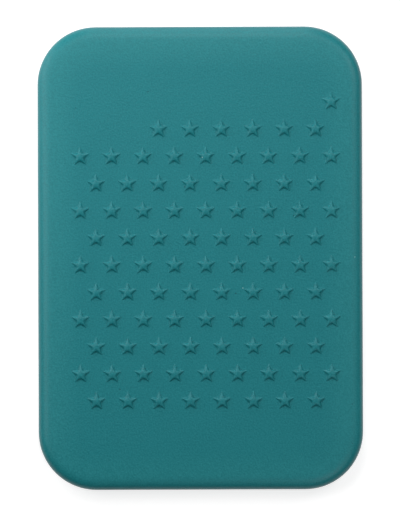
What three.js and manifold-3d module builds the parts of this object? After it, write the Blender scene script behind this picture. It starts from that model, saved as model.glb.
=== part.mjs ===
// A pin badge board: one slab of moulded closed-cell foam, with round corners and a
// full-round edge. Pins are held by pushing their posts into the front, where a lattice
// of low domed stars marks a place for each pin. The lattice stops short of a bare
// header, which steps down at the left, and of a bare footer.
//
// Millimetres. The board lies on its back: +X is its right, +Y its top and +Z its front.
// The origin is the middle of the back face.

import * as THREE from "three";
import { mergeVertices } from "three/addons/utils/BufferGeometryUtils.js";
import Module from "manifold-3d";

// Slab
const boardWidth = 213;
const boardHeight = 304;
const boardThickness = 19;
const cornerRadius = 38;
const partingLand = 1; // straight wall at mid thickness, where the mould halves meet
const edgeRound = (boardThickness - partingLand) / 2; // front and back edges alike
const cornerSteps = 12; // facets along each round corner
const edgeSteps = 7; // facets over each round edge

// Stars
const starPitch = 20.6; // from a star to each of its six neighbours
const starTipRadius = 6.3; // centre to a tip
const starCrotchRadius = 3.1; // centre to the notch between two arms
const starRise = 1.8; // top of the dome above the front face
const starArms = 5;

// A star's level lines, from its edge to near its top: how far out the tips and the
// crotches lie, and how high the line is. They turn from a star into a circle.
const starLevelShares = [
  { tip: 1, crotch: 1, rise: 0 },
  { tip: 0.72, crotch: 0.93, rise: 0.35 },
  { tip: 0.49, crotch: 0.78, rise: 0.65 },
  { tip: 0.3, crotch: 0.55, rise: 0.87 },
];

// Lattice of stars, placed from the slab's edges to the star centres
const firstColumnInset = 27.8; // from the left edge
const lastColumnInset = 20; // least, from the right edge
const firstRowInset = 58.3; // from the bottom edge
const lastRowInset = 48.8; // least, from the top edge

// Header without stars: a band along the top, and a deeper field at its left end
const headerDepth = 58;
const headerEndGap = 26; // the band stops this far from the right edge
const cornerFieldDepth = 76;
const cornerFieldWidth = 67;

const cutOverrun = 0.5; // how far a star's root is sunk into the slab before they join

const wasm = await Module();
wasm.setup();

// A closed geometry as a manifold solid.
function solidFrom(geometry) {
  const bare = new THREE.BufferGeometry();
  bare.setAttribute("position", geometry.getAttribute("position"));
  if (geometry.index) bare.setIndex(geometry.index);
  const merged = mergeVertices(bare);
  return new wasm.Manifold(
    new wasm.Mesh({
      numProp: 3,
      vertProperties: merged.attributes.position.array,
      triVerts: new Uint32Array(merged.index.array),
    }),
  );
}

// A manifold solid as a flat-shaded geometry.
function geometryFrom(solid) {
  const mesh = solid.getMesh();
  const indexed = new THREE.BufferGeometry();
  indexed.setAttribute("position", new THREE.BufferAttribute(mesh.vertProperties, mesh.numProp));
  indexed.setIndex(new THREE.BufferAttribute(mesh.triVerts, 1));
  const geometry = indexed.toNonIndexed();
  geometry.computeVertexNormals();
  return geometry;
}

// The slab's outline at its widest: a rectangle with round corners.
function slabOutline() {
  const x = boardWidth / 2;
  const y = boardHeight / 2;
  const r = cornerRadius;
  const outline = new THREE.Shape();
  outline.moveTo(x, y - r);
  outline.absarc(x - r, y - r, r, 0, Math.PI / 2);
  outline.absarc(r - x, y - r, r, Math.PI / 2, Math.PI);
  outline.absarc(r - x, r - y, r, Math.PI, (3 * Math.PI) / 2);
  outline.absarc(x - r, r - y, r, (3 * Math.PI) / 2, 2 * Math.PI);
  return outline;
}

// The slab with both edges rounded, its back face at z = 0.
function slab() {
  const geometry = new THREE.ExtrudeGeometry(slabOutline(), {
    depth: partingLand,
    curveSegments: cornerSteps,
    bevelThickness: edgeRound,
    bevelSize: edgeRound,
    bevelOffset: -edgeRound,
    bevelSegments: edgeSteps,
  });
  geometry.translate(0, 0, edgeRound);
  return geometry;
}

// One level line of a star, one tip towards +Y.
function starRing(level, z) {
  const ring = [];
  const points = 2 * starArms;
  for (let i = 0; i < points; i += 1) {
    const angle = Math.PI / 2 + (i * Math.PI) / starArms;
    const radius = i % 2 ? level.crotch * starCrotchRadius : level.tip * starTipRadius;
    ring.push(new THREE.Vector3(radius * Math.cos(angle), radius * Math.sin(angle), z));
  }
  return ring;
}

// One star: a root below the face, and a plump dome lofted over its level lines.
function starGeometry() {
  const rings = starLevelShares.map((level) => starRing(level, level.rise * starRise));
  rings.unshift(starRing(starLevelShares[0], -cutOverrun));
  const foot = new THREE.Vector3(0, 0, -cutOverrun);
  const top = new THREE.Vector3(0, 0, starRise);
  const corners = [];
  const count = 2 * starArms;
  for (let i = 0; i < count; i += 1) {
    const next = (i + 1) % count;
    corners.push(foot, rings[0][next], rings[0][i]);
    for (let level = 0; level + 1 < rings.length; level += 1) {
      const low = rings[level];
      const high = rings[level + 1];
      corners.push(low[i], low[next], high[next], low[i], high[next], high[i]);
    }
    const last = rings[rings.length - 1];
    corners.push(last[i], last[next], top);
  }
  return new THREE.BufferGeometry().setFromPoints(corners);
}

// Whether a star centre would fall in the header.
function inHeader(x, y) {
  const fromTop = boardHeight / 2 - y;
  const fromLeft = x + boardWidth / 2;
  const fromRight = boardWidth / 2 - x;
  const inBand = fromTop < headerDepth && fromRight > headerEndGap;
  const inCorner = fromTop < cornerFieldDepth && fromLeft < cornerFieldWidth;
  return inBand || inCorner;
}

// The star centres: rows from the bottom up, an even triangular lattice, with every
// other row set in by half a pitch.
function starCentres() {
  const centres = [];
  const rowPitch = (starPitch * Math.sqrt(3)) / 2;
  const left = firstColumnInset - boardWidth / 2;
  const right = boardWidth / 2 - lastColumnInset;
  const bottom = firstRowInset - boardHeight / 2;
  const top = boardHeight / 2 - lastRowInset;
  const columns = Math.floor((right - left) / starPitch) + 1;
  const rows = Math.floor((top - bottom) / rowPitch) + 1;
  for (let row = 0; row < rows; row += 1) {
    const setIn = row % 2 === 0;
    for (let column = 0; column < (setIn ? columns - 1 : columns); column += 1) {
      const x = left + (column + (setIn ? 1 / 2 : 0)) * starPitch;
      const y = bottom + row * rowPitch;
      if (!inHeader(x, y)) centres.push(new THREE.Vector2(x, y));
    }
  }
  return centres;
}

// The board is one moulding, so the stars are joined to the slab.
function boardGeometry() {
  const star = solidFrom(starGeometry());
  const stars = starCentres().map((centre) => star.translate([centre.x, centre.y, boardThickness]));
  return geometryFrom(solidFrom(slab()).add(wasm.Manifold.union(stars)));
}

const foam = new THREE.MeshStandardMaterial({
  name: "teal foam",
  color: 0x377f85,
  roughness: 0.75,
  metalness: 0,
});

const board = new THREE.Mesh(boardGeometry(), foam);
board.name = "foam_board";

const pinBoard = new THREE.Group();
pinBoard.add(board);

export default pinBoard;
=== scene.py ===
"""The looks of the pin badge board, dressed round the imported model.

The board lies on its back on a pale floor, +Z out of its front and +Y towards its header
end, and the camera looks straight down at it, as in the photograph. Everything is in
metres. One piece, moulded_board, stands for the CAD solid foam_board.
"""

import math

import bpy
import numpy as np
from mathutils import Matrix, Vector, geometry, noise


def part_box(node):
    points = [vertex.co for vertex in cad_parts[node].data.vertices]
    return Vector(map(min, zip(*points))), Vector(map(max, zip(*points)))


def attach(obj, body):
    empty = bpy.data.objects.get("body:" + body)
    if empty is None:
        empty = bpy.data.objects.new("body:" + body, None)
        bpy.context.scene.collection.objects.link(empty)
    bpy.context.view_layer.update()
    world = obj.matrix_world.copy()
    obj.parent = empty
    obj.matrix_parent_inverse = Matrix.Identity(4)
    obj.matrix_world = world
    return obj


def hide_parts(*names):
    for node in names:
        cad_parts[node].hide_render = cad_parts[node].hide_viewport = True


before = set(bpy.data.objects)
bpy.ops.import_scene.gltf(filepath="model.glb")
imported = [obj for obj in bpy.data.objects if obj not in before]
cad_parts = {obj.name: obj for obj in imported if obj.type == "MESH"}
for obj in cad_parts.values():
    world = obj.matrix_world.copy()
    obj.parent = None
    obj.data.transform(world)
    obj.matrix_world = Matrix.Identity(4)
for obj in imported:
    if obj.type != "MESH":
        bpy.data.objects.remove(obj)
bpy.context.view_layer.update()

MM = 0.001

# Slab, as in the CAD
STAR_RISE = 1.8 * MM
top_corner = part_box("foam_board")[1]
THICKNESS = top_corner.z - STAR_RISE
HALF_WIDTH = top_corner.x
HALF_HEIGHT = top_corner.y
CORNER_RADIUS = 38 * MM
PARTING_LAND = 1 * MM

# Slab's edge: its section is a quarter of a superellipse, front and back
EDGE_ROUND = (THICKNESS - PARTING_LAND) / 2  # height of each of the edge's two rounds
EDGE_REACH = 9 * MM  # from the outline to where the flat face starts
EDGE_FULLNESS = 2.6  # 2 is an ellipse, and more is a fuller shoulder that turns down later
FLASH_HEIGHT = 0.12 * MM  # how far the parting line stands out of the edge
FLASH_HALF_WIDTH = 0.3 * MM  # at its foot
FLASH_CREST_SHARE = 0.25  # of that half width, at its crest

# Lattice of stars, as in the CAD
STAR_PITCH = 20.6 * MM
FIRST_COLUMN_INSET = 27.8 * MM
LAST_COLUMN_INSET = 20 * MM
FIRST_ROW_INSET = 58.3 * MM
LAST_ROW_INSET = 48.8 * MM
HEADER_DEPTH = 58 * MM
HEADER_END_GAP = 26 * MM
CORNER_FIELD_DEPTH = 76 * MM
CORNER_FIELD_WIDTH = 67 * MM

# A star
ARMS = 5
TIP_RADIUS = 6.6 * MM  # before the tip is rounded
CROTCH_RADIUS = 3.0 * MM
TIP_ROUND = 0.3 * MM
CROTCH_ROUND = 0.8 * MM
FOOT = 0.2 * MM  # width of the blend round a star's foot
WALL_SHARE = 0.08  # of the star's rise, taken up in that blend
FOOT_SHARES = ((0.5, 0.2), (0.15, 0.65))  # of the foot's width, of the wall's height
DOME_SHARES = (0.98, 0.94, 0.88, 0.79, 0.67, 0.51, 0.3)  # of the outline, for the dome's rings
PLUMP_LENGTH = 0.8 * MM  # the dome levels off this far from the star's edge
PLUMP_GRID = 0.1 * MM  # spacing of the grid that the dome's heights are solved on
PLUMP_SWEEPS = 260
OVER_RELAXATION = 1.7  # makes each sweep go further, between 1 and 2

# Mesh
CORNER_STEPS = 22
SIDE_STEP = 4 * MM
ARC_STEPS = 14  # over each of the edge's two rounds
TIP_STEPS = 4
CROTCH_STEPS = 3
ARM_STEPS = 3
PATCH_RADIUS = 8.4 * MM  # of the round patch of fine mesh that holds a star
PATCH_SHARES = (0.45, 0.8)  # of the way from the patch's rim to the star's foot
HOLE_SHARE = 0.99  # of the patch's radius: a triangle with its middle inside that is left out
FRONT_STEP = 4 * MM  # between the mesh points of the flat front
BACK_STEP = 2 * FRONT_STEP
MARGIN_SHARE = 0.45  # of the step, kept free beside the rims of the slab and the patches
WHOLE_HULL = 0  # asks the triangulation for triangles over the whole hull of its points
MERGE_DISTANCE = 1e-7  # the triangulation counts nearer points as one

# Faults of the moulding
CROWN_SLOPE = 0.06  # how steeply the face falls away at the end of its fall
CROWN_START = 30 * MM  # from the outline, where it starts to fall
CROWN_END = 4 * MM  # and where it stops
SWELL = 0.07 * MM  # depth of the skin's slow waves
SWELL_SIZE = 32 * MM

# Colours of the foam
TEAL = (0.0045, 0.142, 0.161)
TEAL_DEEP = (0.0037, 0.134, 0.153)
TEAL_PALE = (0.0085, 0.174, 0.195)
PAINTED_SHEEN = (0.0035, 0.013, 0.011)  # painted sheen, added to the colour near the rim
PAINTED_SHEEN_START = 30 * MM  # how far in from the outline the painted sheen starts
PAINTED_SHEEN_END = 9 * MM  # and where it is full
# Painted shade: the pits' colour, darker as shade falls in them
PIT_PAINTED_SHADE = (0.004, 0.07, 0.085)
SPECK_COLOUR = (0.33, 0.52, 0.5)

# Textures of the foam, whose scales count cells per metre
CLOUD = {"scale": 45, "detail": 4, "roughness": 0.65}  # slow changes of colour
CLOUD_RANGE = (0.3, 0.7)  # of the noise, from the deep teal to the plain one
FLECK = {"scale": 1000, "detail": 1, "roughness": 0.6}  # fine changes of colour
FLECK_RANGE = (0.25, 0.75)
FLECK_SHARE = 0.95  # of the pale teal, where a fleck is strongest
GRAIN = {"scale": 750, "detail": 1, "roughness": 0.5}  # fine relief
RIPPLE = {"scale": 150, "detail": 2, "roughness": 0.5}  # coarse relief
RIPPLE_SHARE = 0.4  # of the grain's depth
PEBBLE_SCALE = 780
PEBBLE_SHARE = 0.5  # of the grain's depth
PITS = {"scale": 210, "radius": 0.5 * MM, "kept_share": 0.035, "offset": 0.31}
SPECKS = {"scale": 190, "radius": 0.4 * MM, "kept_share": 0.015, "offset": 1.73}
PIT_DEPTH_SHARE = 2.0  # of the grain's depth
DOT_CORE_SHARE = 0.45  # of its radius, where a pit or a speck is at full strength
OFFSET_SHARES = (1, 1 / 3, 1 / 7)  # of a kind's offset, along X, Y and Z

# Surface of the foam
BUMP_DEPTH = 0.1 * MM
ROUGHNESS_RANGE = (0.4, 0.48)
REFRACTION = 1.5
SPECULAR = 0.26

# Floor
WHITE = (1, 1, 1)
PAPER = (0.5, 0.5, 0.5)
FLOOR_GLOW = 0.7  # round the board, where its shadow falls, and 1 further away
FLOOR_NEAR = 0.35  # from the middle, where the glow starts to rise
FLOOR_FAR = 1.2  # and where it is 1
FLOOR_HALF = 4.0
FLOOR_DROP = 0.1 * MM  # below the board's back

# Soft boxes: azimuth and elevation in degrees (azimuth 0 is +X and 90 is +Y), distance,
# size and watts
LAMPS = {
    "head": (90, 45, 0.85, 0.35, 2.0),
    "head_high": (90, 62, 0.85, 0.35, 0.9),
    "head_low": (90, 12, 0.85, 0.35, 1.8),
    "head_right": (30, 45, 0.85, 0.35, 1.9),
    "left": (180, 45, 0.85, 0.35, 1.7),
    "left_high": (150, 62, 0.85, 0.35, 1.1),
    "left_low": (150, 20, 0.55, 0.3, 1.3),
    "right_high": (0, 62, 0.85, 0.35, 0.3),
    "foot_right": (300, 45, 0.85, 0.35, 1.4),
}

# The photograph's frame
IMAGE_HEIGHT = 517
PIXEL = 0.6573 * MM  # what a pixel spans at the board's outline
OFF_CENTRE = (0.3, 0.3)  # pixels, the board's centre right of and above the image's
ROLL = math.radians(0.2)
CAMERA_DISTANCE = 5.0
CLIP_RANGE = (0.1, 20)
SENSOR = 36  # in millimetres, as the camera counts it


def rounded_ring(inset, z):
    """One ring of points round the slab, anticlockwise, inset from its outline."""
    radius = CORNER_RADIUS - inset
    signs = ((1, 1), (-1, 1), (-1, -1), (1, -1))

    def on_arc(corner, turn):
        """A point on a corner's arc, that many quarter turns on from +X."""
        sign_x, sign_y = signs[corner % len(signs)]
        a = math.radians(90 * turn)
        x = sign_x * (HALF_WIDTH - CORNER_RADIUS) + radius * math.cos(a)
        y = sign_y * (HALF_HEIGHT - CORNER_RADIUS) + radius * math.sin(a)
        return x, y

    points = []
    for corner in range(len(signs)):
        points += [on_arc(corner, corner + step / CORNER_STEPS) for step in range(CORNER_STEPS + 1)]
        here = points[-1]
        there = on_arc(corner + 1, corner + 1)
        steps = round(math.dist(here, there) / SIDE_STEP)
        for step in range(1, steps):
            t = step / steps
            points.append((here[0] + (there[0] - here[0]) * t, here[1] + (there[1] - here[1]) * t))
    ring = np.empty((len(points), 3))
    ring[:, :2] = points
    ring[:, 2] = z
    return ring


def edge_profile():
    """(inset, height) from the front face round the edge to the back face."""
    power = 2 / EDGE_FULLNESS
    upper = []
    for step in range(ARC_STEPS + 1):
        a = math.radians(90 * step / ARC_STEPS)
        across = math.sin(a) ** power
        up = math.cos(a) ** power
        upper.append((EDGE_REACH * (1 - across), THICKNESS - EDGE_ROUND * (1 - up)))
    middle = THICKNESS / 2
    upper.append((0, middle + FLASH_HALF_WIDTH))
    upper.append((-FLASH_HEIGHT, middle + FLASH_HALF_WIDTH * FLASH_CREST_SHARE))
    return upper + [(inset, 2 * middle - z) for inset, z in reversed(upper)]


def between(a, b, steps):
    """The points that part the line from a to b into even steps, without its ends."""
    return [a.lerp(b, step / steps) for step in range(1, steps)]


def round_corner(before, corner, after, radius, steps):
    """Points of a fillet at a corner of a plane outline."""
    to_before = (before - corner).normalized()
    to_after = (after - corner).normalized()
    half = to_before.angle(to_after) / 2
    reach = radius / math.tan(half)
    start = corner + to_before * reach
    end = corner + to_after * reach
    centre = corner + (to_before + to_after).normalized() * (radius / math.sin(half))
    points = []
    for step in range(steps + 1):
        spoke = (start - centre).normalized().slerp((end - centre).normalized(), step / steps)
        points.append(centre + spoke * radius)
    return points


def star_outline():
    """A star's outline, anticlockwise, with round tips and crotches, and its outward normals."""
    bare = []
    for i in range(2 * ARMS):
        a = math.pi / 2 + i * math.pi / ARMS
        r = CROTCH_RADIUS if i % 2 else TIP_RADIUS
        bare.append(Vector((r * math.cos(a), r * math.sin(a), 0)))
    points = []
    for i, corner in enumerate(bare):
        radius, steps = (CROTCH_ROUND, CROTCH_STEPS) if i % 2 else (TIP_ROUND, TIP_STEPS)
        arc = round_corner(bare[i - 1], corner, bare[(i + 1) % len(bare)], radius, steps)
        if points:
            points += between(points[-1], arc[0], ARM_STEPS)
        points += arc
    points += between(points[-1], points[0], ARM_STEPS)
    flat = np.array([tuple(p)[:2] for p in points])
    tangent = np.roll(flat, -1, 0) - np.roll(flat, 1, 0)
    normal = np.stack([tangent[:, 1], -tangent[:, 0]], 1)
    normal /= np.linalg.norm(normal, axis=1, keepdims=True)
    return flat, normal


def plump_heights(outline):
    """Heights from 0 to 1 over a grid round a star, like a skin blown up inside the outline.

    They solve length^2 * laplacian(u) = u - 1 inside the outline, with u = 0 on it.
    """
    reach = math.ceil(TIP_RADIUS / PLUMP_GRID) + 1
    steps = np.arange(-reach, reach + 1)
    x, y = np.meshgrid(steps * PLUMP_GRID, steps * PLUMP_GRID)
    angle = np.arctan2(outline[:, 1], outline[:, 0])
    order = np.argsort(angle)
    radius = np.hypot(*outline[order].T)
    limit = np.interp(np.arctan2(y, x), angle[order], radius, period=2 * math.pi)
    inside = np.hypot(x, y) < limit
    checker = (steps[:, None] + steps[None, :]) % 2 == 0
    pull = (PLUMP_GRID / PLUMP_LENGTH) ** 2
    u = np.zeros(x.shape)
    for _ in range(PLUMP_SWEEPS):
        for cells in (inside & checker, inside & ~checker):
            around = np.roll(u, 1, 0) + np.roll(u, -1, 0) + np.roll(u, 1, 1) + np.roll(u, -1, 1)
            u[cells] += OVER_RELAXATION * ((around + pull) / (4 + pull) - u)[cells]
    return u / u.max()


def height_at(heights, flat):
    """The grid's heights at plane points, by bilinear interpolation."""
    place = flat / PLUMP_GRID + heights.shape[0] // 2
    column, row = np.floor(place).astype(int).T
    across, up = (place - np.floor(place)).T
    lower = heights[row, column] * (1 - across) + heights[row, column + 1] * across
    upper = heights[row + 1, column] * (1 - across) + heights[row + 1, column + 1] * across
    return lower * (1 - up) + upper * up


def star_rings():
    """Rings of points from the patch's rim to near the star's top."""
    outline, normal = star_outline()
    foot = outline + normal * FOOT
    angle = np.arctan2(foot[:, 1], foot[:, 0])
    patch_rim = PATCH_RADIUS * np.stack([np.cos(angle), np.sin(angle)], 1)
    wall = WALL_SHARE * STAR_RISE
    heights = plump_heights(outline)
    rings = []

    def add(flat, z):
        rings.append(np.column_stack([flat, np.broadcast_to(z, len(flat))]))

    add(patch_rim, 0)
    for share in PATCH_SHARES:
        add(patch_rim + (foot - patch_rim) * share, 0)
    add(foot, 0)
    for out, up in FOOT_SHARES:
        add(outline + normal * FOOT * out, wall * up)
    add(outline, wall)
    for share in DOME_SHARES:
        flat = outline * share
        add(flat, wall + (STAR_RISE - wall) * height_at(heights, flat))
    return rings


def in_header(x, y):
    """Whether a star centre would fall in the bare header."""
    from_top = HALF_HEIGHT - y
    in_band = from_top < HEADER_DEPTH and HALF_WIDTH - x > HEADER_END_GAP
    in_corner = from_top < CORNER_FIELD_DEPTH and x + HALF_WIDTH < CORNER_FIELD_WIDTH
    return in_band or in_corner


def star_centres():
    """The star centres, rows from the bottom up, every other row set in by half a pitch."""
    row_pitch = STAR_PITCH * math.sqrt(3) / 2
    left = FIRST_COLUMN_INSET - HALF_WIDTH
    bottom = FIRST_ROW_INSET - HALF_HEIGHT
    columns = int((2 * HALF_WIDTH - FIRST_COLUMN_INSET - LAST_COLUMN_INSET) / STAR_PITCH) + 1
    rows = int((2 * HALF_HEIGHT - FIRST_ROW_INSET - LAST_ROW_INSET) / row_pitch) + 1
    centres = []
    for row in range(rows):
        set_in = row % 2 == 0
        for column in range(columns - set_in):
            x = left + (column + set_in / 2) * STAR_PITCH
            y = bottom + row * row_pitch
            if not in_header(x, y):
                centres.append((x, y))
    return centres


def nearest_star(centres, x, y):
    """How far the nearest star centre is, which is endlessly far where there are none."""
    return min((math.dist(centre, (x, y)) for centre in centres), default=math.inf)


def ring_faces(outer, inner, flip=False):
    """Quads between two rings of vertex numbers."""
    count = len(outer)
    faces = []
    for i in range(count):
        j = (i + 1) % count
        quad = (outer[i], outer[j], inner[j], inner[i])
        faces.append(quad[::-1] if flip else quad)
    return faces


def field_points(step, centres, keep_off):
    """An even lattice of points inside the slab's flat, clear of the star patches."""
    half_x = HALF_WIDTH - EDGE_REACH
    half_y = HALF_HEIGHT - EDGE_REACH
    radius = CORNER_RADIUS - EDGE_REACH
    margin = MARGIN_SHARE * step
    points = []
    row = 0
    y = -half_y + step / 2
    while y < half_y:
        x = -half_x + step / 2 + (row % 2) * step / 2
        while x < half_x:
            over_x = max(abs(x) - (half_x - radius), 0)
            over_y = max(abs(y) - (half_y - radius), 0)
            on_flat = math.hypot(over_x, over_y) < radius - margin
            if on_flat and nearest_star(centres, x, y) > keep_off + margin:
                points.append((x, y))
            x += step
        y += step * math.sqrt(3) / 2
        row += 1
    return points


class Mesh:
    """Vertices and faces as they are gathered."""

    def __init__(self):
        self.points = []
        self.faces = []

    def add(self, points):
        """Adds vertices and gives their numbers."""
        start = len(self.points)
        self.points += [tuple(p) for p in points]
        return list(range(start, len(self.points)))

    def fill(self, loops, extra, z, centres, flip=False):
        """Triangles over the flat that the first loop bounds and the others are holes in."""
        inner = self.add([(x, y, z) for x, y in extra])
        numbers = [n for loop in loops for n in loop] + inner
        flat = [Vector(self.points[n][:2]) for n in numbers]
        edges = []
        start = 0
        for loop in loops:
            count = len(loop)
            edges += [(start + i, start + (i + 1) % count) for i in range(count)]
            start += count
        found, _, triangles, source, _, _ = geometry.delaunay_2d_cdt(
            flat, edges, [], WHOLE_HULL, MERGE_DISTANCE
        )
        names = [numbers[s[0]] for s in source]
        for triangle in triangles:
            middle = sum((found[i] for i in triangle), Vector((0, 0))) / 3
            if nearest_star(centres, *middle) < PATCH_RADIUS * HOLE_SHARE:
                continue
            face = tuple(names[i] for i in triangle)
            self.faces.append(face[::-1] if flip else face)


def build_board():
    """The board's mesh: its edge ring by ring, the stars' patches, then the flats between."""
    mesh = Mesh()
    rings = [mesh.add(rounded_ring(inset, z)) for inset, z in edge_profile()]
    for upper, lower in zip(rings, rings[1:]):
        mesh.faces += ring_faces(upper, lower, flip=True)

    centres = star_centres()
    template = star_rings()
    patch_loops = []
    for x, y in centres:
        offset = np.array((x, y, THICKNESS))
        loops = [mesh.add(ring + offset) for ring in template]
        top = mesh.add([(x, y, THICKNESS + STAR_RISE)])[0]
        for outer, inner in zip(loops, loops[1:]):
            mesh.faces += ring_faces(outer, inner)
        last = loops[-1]
        mesh.faces += [(last[i], last[(i + 1) % len(last)], top) for i in range(len(last))]
        patch_loops.append(loops[0])

    front = field_points(FRONT_STEP, centres, PATCH_RADIUS)
    mesh.fill([rings[0]] + patch_loops, front, THICKNESS, centres)
    back = field_points(BACK_STEP, [], 0)
    mesh.fill([rings[-1]], back, 0, [], flip=True)
    return mesh


def swell(point):
    """How far the skin lies under its nominal face at a point: slow, shallow waves."""
    return SWELL * (1 + noise.noise(Vector(point) / SWELL_SIZE)) / 2


def crown(points):
    """How far each point of the front half is let down, so that the face is slightly crowned."""
    over = np.abs(points[:, :2]) - (HALF_WIDTH - CORNER_RADIUS, HALF_HEIGHT - CORNER_RADIUS)
    outside = np.hypot(*np.maximum(over, 0).T)
    inset = CORNER_RADIUS - outside - np.minimum(over.max(axis=1), 0)
    reach = CROWN_START - CROWN_END
    share = np.clip((CROWN_START - inset) / reach, 0, 1)
    front = np.clip(2 * points[:, 2] / THICKNESS - 1, 0, 1)
    return CROWN_SLOPE * reach / 2 * share**2 * front


def make_piece(name, mesh):
    """The mesh as a smooth piece, with the faults of its moulding and nothing below its back."""
    data = bpy.data.meshes.new(name)
    data.from_pydata(mesh.points, [], mesh.faces)
    data.validate()
    data.update()
    normals = np.empty(len(data.vertices) * 3)
    data.vertex_normals.foreach_get("vector", normals)
    depth = np.array([swell(p) for p in mesh.points])
    points = np.array(mesh.points) - normals.reshape(-1, 3) * depth[:, None]
    points[:, 2] -= crown(points)
    points[:, 2] = np.maximum(points[:, 2], 0)
    data.vertices.foreach_set("co", points.ravel())
    data.polygons.foreach_set("use_smooth", [True] * len(data.polygons))
    data.update()
    piece = bpy.data.objects.new(name, data)
    bpy.context.scene.collection.objects.link(piece)
    return piece


class Nodes:
    """A short way to write a material's nodes."""

    def __init__(self, tree):
        self.tree = tree
        tree.nodes.clear()

    def make(self, kind, sets=None, **links):
        """A node with its properties or sockets set, and with its named sockets linked."""
        node = self.tree.nodes.new(kind)
        for key, value in (sets or {}).items():
            if hasattr(node, key):
                setattr(node, key, value)
            else:
                node.inputs[key].default_value = value
        for key, value in links.items():
            self.link(value, node.inputs[key.replace("_", " ")])
        return node

    def link(self, output, socket):
        self.tree.links.new(output, socket)

    def ramp(self, value, start, end, to_start=0.0, to_end=1.0):
        """A soft step from one number to another, as the value goes from start to end."""
        sets = {
            "interpolation_type": "SMOOTHSTEP",
            "From Min": start,
            "From Max": end,
            "To Min": to_start,
            "To Max": to_end,
        }
        return self.make("ShaderNodeMapRange", sets, Value=value).outputs["Result"]

    def maths(self, operation, a, b):
        node = self.make("ShaderNodeMath", {"operation": operation})
        for socket, value in zip(node.inputs, (a, b)):
            if isinstance(value, (int, float)):
                socket.default_value = value
            else:
                self.link(value, socket)
        return node.outputs["Value"]

    def vector(self, operation, a, b=(0, 0, 0), output="Vector"):
        node = self.make("ShaderNodeVectorMath", {"operation": operation})
        self.link(a, node.inputs[0])
        node.inputs[1].default_value = b
        return node.outputs[output]

    def noise(self, where, scale, detail, roughness):
        sets = {"Scale": scale, "Detail": detail, "Roughness": roughness}
        return self.make("ShaderNodeTexNoise", sets, Vector=where).outputs["Fac"]

    def mix(self, share, a, b, blend="MIX"):
        node = self.make("ShaderNodeMix", {"data_type": "RGBA", "blend_type": blend})
        self.link(share, node.inputs["Factor"])
        colours = [s for s in node.inputs if s.type == "RGBA"]
        for socket, value in zip(colours, (a, b)):
            if isinstance(value, tuple):
                socket.default_value = (*value, 1)
            else:
                self.link(value, socket)
        return next(s for s in node.outputs if s.type == "RGBA")


def dots(n, where, scale, radius, kept_share, offset):
    """Soft round dots, one in each kept cell. The offset parts one kind from another."""
    moved = n.vector("ADD", where, tuple(offset * share for share in OFFSET_SHARES))
    cells = n.make("ShaderNodeTexVoronoi", {"Scale": scale}, Vector=moved)
    split = n.make("ShaderNodeSeparateColor", Color=cells.outputs["Color"])
    chosen = n.maths("GREATER_THAN", split.outputs["Red"], 1 - kept_share)
    rim = radius * scale
    near = n.ramp(cells.outputs["Distance"], rim * DOT_CORE_SHARE, rim, 1.0, 0.0)
    return n.maths("MULTIPLY", chosen, near)


def near_rim(n, where):
    """From 0 inside the face to 1 near the slab's outline, the mask of the painted sheen.

    The core is a metre high, so that height never takes a point out of it.
    """
    core = (HALF_WIDTH - CORNER_RADIUS, HALF_HEIGHT - CORNER_RADIUS, 1)
    over = n.vector("MAXIMUM", n.vector("SUBTRACT", n.vector("ABSOLUTE", where), core))
    reach = n.vector("LENGTH", over, output="Value")
    return n.ramp(reach, CORNER_RADIUS - PAINTED_SHEEN_START, CORNER_RADIUS - PAINTED_SHEEN_END)


def foam_material():
    """Closed-cell foam with the fine pebbled skin of its mould."""
    material = bpy.data.materials.new("closed_cell_foam")
    material.use_nodes = True
    n = Nodes(material.node_tree)
    where = n.make("ShaderNodeTexCoord").outputs["Object"]

    cloud = n.ramp(n.noise(where, **CLOUD), *CLOUD_RANGE)
    fleck = n.ramp(n.noise(where, **FLECK), *FLECK_RANGE)
    pits = dots(n, where, **PITS)
    colour = n.mix(cloud, TEAL_DEEP, TEAL)
    colour = n.mix(n.maths("MULTIPLY", fleck, FLECK_SHARE), colour, TEAL_PALE)
    # Painted sheen: the colour is lightened near the rim, where the foam's sheen brightens it
    colour = n.mix(near_rim(n, where), colour, PAINTED_SHEEN, "ADD")
    # Painted shade: the pits are darkened in colour, besides being sunk by the bump below
    colour = n.mix(pits, colour, PIT_PAINTED_SHADE)
    colour = n.mix(dots(n, where, **SPECKS), colour, SPECK_COLOUR)

    cells = n.make(
        "ShaderNodeTexVoronoi", {"Scale": PEBBLE_SCALE, "feature": "SMOOTH_F1"}, Vector=where
    )
    pebbles = n.maths("MULTIPLY", cells.outputs["Distance"], PEBBLE_SHARE)
    ripples = n.maths("MULTIPLY", n.noise(where, **RIPPLE), RIPPLE_SHARE)
    relief = n.maths("ADD", n.noise(where, **GRAIN), pebbles)
    relief = n.maths("ADD", relief, ripples)
    relief = n.maths("SUBTRACT", relief, n.maths("MULTIPLY", pits, PIT_DEPTH_SHARE))
    bump = n.make("ShaderNodeBump", {"Strength": 1.0, "Distance": BUMP_DEPTH}, Height=relief)

    shader = n.make(
        "ShaderNodeBsdfPrincipled",
        {"IOR": REFRACTION, "Specular IOR Level": SPECULAR},
        Base_Color=colour,
        Roughness=n.ramp(fleck, 0.0, 1.0, *ROUGHNESS_RANGE),
        Normal=bump.outputs["Normal"],
    )
    n.make("ShaderNodeOutputMaterial", Surface=shader.outputs["BSDF"])
    return material


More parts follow.
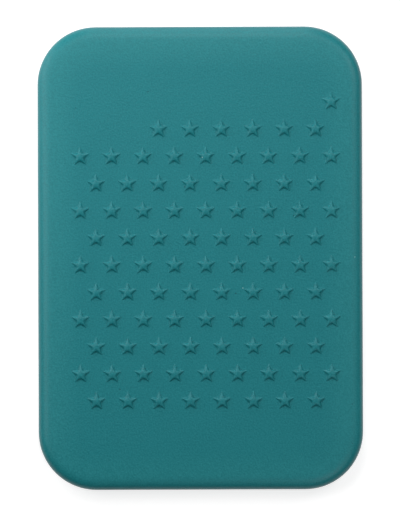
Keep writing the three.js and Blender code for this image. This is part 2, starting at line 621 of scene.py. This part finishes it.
def floor_material():
    """Pale matt paper, which the camera sees as white away from the board's shadow."""
    material = bpy.data.materials.new("pale_floor")
    material.use_nodes = True
    n = Nodes(material.node_tree)
    path = n.make("ShaderNodeLightPath")
    seen = n.maths("MAXIMUM", path.outputs["Is Camera Ray"], path.outputs["Is Glossy Ray"])
    seen = n.maths("MAXIMUM", seen, path.outputs["Is Transmission Ray"])
    where = n.make("ShaderNodeTexCoord").outputs["Object"]
    away = n.vector("LENGTH", where, output="Value")
    strength = n.maths("MULTIPLY", seen, n.ramp(away, FLOOR_NEAR, FLOOR_FAR, FLOOR_GLOW, 1.0))
    glow = n.make("ShaderNodeEmission", {"Color": (*WHITE, 1)}, Strength=strength)
    paper = n.make("ShaderNodeBsdfDiffuse", {"Color": (*PAPER, 1)})
    both = n.make("ShaderNodeAddShader")
    n.link(paper.outputs["BSDF"], both.inputs[0])
    n.link(glow.outputs["Emission"], both.inputs[1])
    n.make("ShaderNodeOutputMaterial", Surface=both.outputs["Shader"])
    return material


def make_floor():
    h = FLOOR_HALF
    z = -FLOOR_DROP
    data = bpy.data.meshes.new("floor")
    data.from_pydata([(-h, -h, z), (h, -h, z), (h, h, z), (-h, h, z)], [], [(0, 1, 2, 3)])
    floor = bpy.data.objects.new("floor", data)
    bpy.context.scene.collection.objects.link(floor)
    data.materials.append(floor_material())


def make_lamps():
    for name, (azimuth, elevation, distance, size, watts) in LAMPS.items():
        data = bpy.data.lights.new(name, "AREA")
        data.shape = "SQUARE"
        data.size = size
        data.energy = watts
        lamp = bpy.data.objects.new(name, data)
        a = math.radians(azimuth)
        e = math.radians(elevation)
        away = Vector((math.cos(a) * math.cos(e), math.sin(a) * math.cos(e), math.sin(e)))
        lamp.location = away * distance
        lamp.rotation_euler = away.to_track_quat("Z", "Y").to_euler()
        bpy.context.scene.collection.objects.link(lamp)


def make_world():
    """A white sky that only the camera and transmitted rays see. It lights nothing."""
    world = bpy.data.worlds.new("studio")
    world.use_nodes = True
    bpy.context.scene.world = world
    n = Nodes(world.node_tree)
    path = n.make("ShaderNodeLightPath")
    seen = n.maths("MAXIMUM", path.outputs["Is Camera Ray"], path.outputs["Is Transmission Ray"])
    sky = n.make("ShaderNodeBackground", {"Color": (*WHITE, 1)}, Strength=seen)
    n.make("ShaderNodeOutputWorld", Surface=sky.outputs["Background"])


def make_camera():
    """A long lens straight above the board, which fills the frame as in the photograph."""
    data = bpy.data.cameras.new("camera")
    data.sensor_fit = "AUTO"
    data.sensor_width = SENSOR
    data.lens = SENSOR * CAMERA_DISTANCE / (IMAGE_HEIGHT * PIXEL)
    data.clip_start, data.clip_end = CLIP_RANGE
    camera = bpy.data.objects.new("camera", data)
    across, up = (-shift * PIXEL for shift in OFF_CENTRE)
    camera.location = (across, up, THICKNESS / 2 + CAMERA_DISTANCE)
    camera.rotation_euler = (0, 0, -ROLL)
    bpy.context.scene.collection.objects.link(camera)
    bpy.context.scene.camera = camera


board = make_piece("moulded_board", build_board())
board.data.materials.append(foam_material())
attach(board, "root")
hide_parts("foam_board")

make_floor()
make_lamps()
make_world()
make_camera()
bpy.context.scene.view_settings.view_transform = "Standard"
